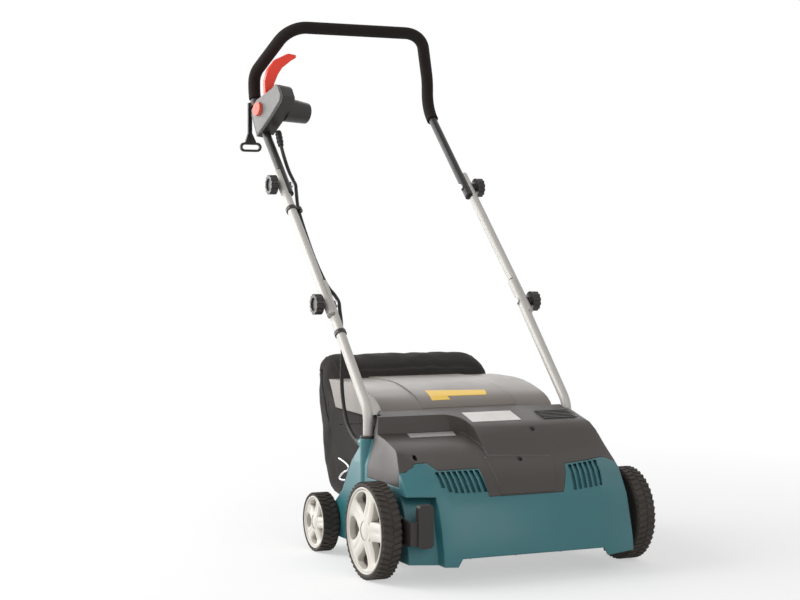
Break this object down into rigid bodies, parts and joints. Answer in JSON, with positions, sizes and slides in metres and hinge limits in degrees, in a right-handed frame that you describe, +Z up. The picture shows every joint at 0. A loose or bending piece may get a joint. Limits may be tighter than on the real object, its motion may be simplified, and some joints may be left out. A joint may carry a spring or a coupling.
{
  "type": "lawn dethatcher",
  "caption": "Electric lawn dethatcher with a blade reel under a moulded housing, four wheels, a lifting rear flap, a fabric collector and a folding tube handle with a start lever.",
  "frame": {"origin": "on the ground under the middle of the overall box", "axes": "+X to the machine's left-right width, towards the side without the switch; +Y to the rear, where the handle and collector are; +Z up"},
  "size_m": [0.55, 0.8944, 1.0523],
  "materials": {
    "teal_plastic": "satin moulded",
    "dark_plastic": "grained moulded",
    "silver_plate": "brushed",
    "black_steel": "black oxide",
    "motor_steel": "painted",
    "copper_core": "wound core",
    "bright_steel": "zinc plated",
    "blade_steel": "stamped",
    "belt_rubber": "matt",
    "black_plastic": "satin moulded",
    "pale_plastic": "satin moulded",
    "tyre_rubber": "matt",
    "grey_plastic": "grained moulded",
    "silver_tube": "powder coated",
    "black_tube": "powder coated",
    "grip_foam": "closed cell foam",
    "mid_grey_plastic": "satin moulded",
    "brass_pins": "nickel plated",
    "red_plastic": "gloss moulded",
    "coral_plastic": "gloss moulded",
    "cable_rubber": "matt",
    "bag_fabric": "woven polyester"
  },
  "bodies": {
    "chassis": {"lower_housing": "teal_plastic", "top_cover": "dark_plastic", "badge_plate": "silver_plate", "cover_screws": "black_steel", "motor_case": "motor_steel", "drive_belt": "belt_rubber", "reel_bearings": "bright_steel", "rear_axle": "bright_steel", "flap_pin_rod": "bright_steel", "lower_tube_left": "silver_tube", "lower_tube_right": "silver_tube", "tube_collars": "black_plastic", "bolts_low": "bright_steel", "cable_lower": "cable_rubber", "cable_gland": "cable_rubber", "clip_lower": "black_plastic"},
    "axle_carrier": {"front_axle": "bright_steel", "depth_lever": "black_plastic"},
    "front_wheel_left": {"front_rim_left": "pale_plastic", "front_tyre_left": "tyre_rubber"},
    "front_wheel_right": {"front_rim_right": "pale_plastic", "front_tyre_right": "tyre_rubber"},
    "rear_wheel_left": {"rear_rim_left": "pale_plastic", "rear_tyre_left": "tyre_rubber"},
    "rear_wheel_right": {"rear_rim_right": "pale_plastic", "rear_tyre_right": "tyre_rubber"},
    "reel": {"reel_shaft": "bright_steel", "reel_blades": "blade_steel", "reel_spacers": "bright_steel", "reel_pulley": "bright_steel"},
    "rotor": {"motor_rotor": "copper_core", "motor_pulley": "bright_steel"},
    "flap": {"rear_flap": "grey_plastic"},
    "collector": {"bag_cloth": "bag_fabric", "bag_frame": "black_steel"},
    "handle_middle": {"middle_tube_left": "silver_tube", "middle_tube_right": "silver_tube", "cable_middle": "cable_rubber", "clip_middle": "black_plastic"},
    "handle_upper": {"upper_tube": "black_tube", "foam_grip": "grip_foam", "switch_front": "mid_grey_plastic", "switch_back": "black_plastic", "inlet_shroud": "black_plastic", "inlet_pins": "brass_pins", "lever_pin": "bright_steel", "cord_hook": "black_plastic", "cable_relief": "cable_rubber", "cable_upper": "cable_rubber", "bolts_high": "bright_steel"},
    "start_lever": {"switch_lever": "red_plastic"},
    "lock_pusher": {"lock_button": "coral_plastic"},
    "knob_a": {"knob_low_left": "black_plastic"},
    "knob_b": {"knob_low_right": "black_plastic"},
    "knob_c": {"knob_high_left": "black_plastic"},
    "knob_d": {"knob_high_right": "black_plastic"}
  },
  "joints": [
    {"name": "depth_setting", "type": "hinge", "parent": "chassis", "child": "axle_carrier", "pos_m": [0, -0.37, 0.1], "axis": [1, 0, 0], "range_deg": [0, 14]},
    {"name": "front_left_roll", "type": "hinge", "parent": "axle_carrier", "child": "front_wheel_left", "pos_m": [-0.256, -0.324, 0.086], "axis": [1, 0, 0], "continuous": true},
    {"name": "front_right_roll", "type": "hinge", "parent": "axle_carrier", "child": "front_wheel_right", "pos_m": [0.256, -0.324, 0.086], "axis": [1, 0, 0], "continuous": true},
    {"name": "rear_left_roll", "type": "hinge", "parent": "chassis", "child": "rear_wheel_left", "pos_m": [-0.238, -0.036, 0.056], "axis": [1, 0, 0], "continuous": true},
    {"name": "rear_right_roll", "type": "hinge", "parent": "chassis", "child": "rear_wheel_right", "pos_m": [0.238, -0.036, 0.056], "axis": [1, 0, 0], "continuous": true},
    {"name": "reel_turn", "type": "hinge", "parent": "chassis", "child": "reel", "pos_m": [0, -0.259, 0.077], "axis": [1, 0, 0], "continuous": true},
    {"name": "rotor_turn", "type": "hinge", "parent": "chassis", "child": "rotor", "pos_m": [0.07, -0.246, 0.206], "axis": [1, 0, 0], "continuous": true},
    {"name": "flap_lift", "type": "hinge", "parent": "chassis", "child": "flap", "pos_m": [0, -0.186, 0.272], "axis": [1, 0, 0], "range_deg": [0, 60]},
    {"name": "collector_pull", "type": "slide", "parent": "chassis", "child": "collector", "axis": [0, 1, 0], "range_m": [0, 0.3]},
    {"name": "handle_fold_low", "type": "hinge", "parent": "chassis", "child": "handle_middle", "pos_m": [0, -0.00726, 0.47001], "axis": [1, 0, 0], "range_deg": [0, 145]},
    {"name": "handle_fold_high", "type": "hinge", "parent": "handle_middle", "child": "handle_upper", "pos_m": [0, 0.24132, 0.70344], "axis": [1, 0, 0], "range_deg": [-145, 0]},
    {"name": "start_squeeze", "type": "hinge", "parent": "handle_upper", "child": "start_lever", "pos_m": [-0.199, 0.36306, 0.88088], "axis": [-1, 0, 0], "range_deg": [0, 18], "stiffness_Nm_per_rad": 1.2, "springref_deg": -8.59},
    {"name": "lock_press", "type": "slide", "parent": "handle_upper", "child": "lock_pusher", "axis": [0.9775, 0.1723, -0.1219], "range_m": [0, 0.005], "stiffness_N_per_m": 400, "springref_m": -0.004},
    {"name": "knob_a_turn", "type": "hinge", "parent": "handle_middle", "child": "knob_a", "pos_m": [-0.233, -0.00726, 0.47001], "axis": [1, 0, 0], "continuous": true},
    {"name": "knob_b_turn", "type": "hinge", "parent": "handle_middle", "child": "knob_b", "pos_m": [0.233, -0.00726, 0.47001], "axis": [1, 0, 0], "continuous": true},
    {"name": "knob_c_turn", "type": "hinge", "parent": "handle_middle", "child": "knob_c", "pos_m": [-0.233, 0.24132, 0.70344], "axis": [1, 0, 0], "continuous": true},
    {"name": "knob_d_turn", "type": "hinge", "parent": "handle_middle", "child": "knob_d", "pos_m": [0.233, 0.24132, 0.70344], "axis": [1, 0, 0], "continuous": true}
  ],
  "couplings": [
    {"joint": "rotor_turn", "follows": "reel_turn", "ratio": 2.1429}
  ]
}
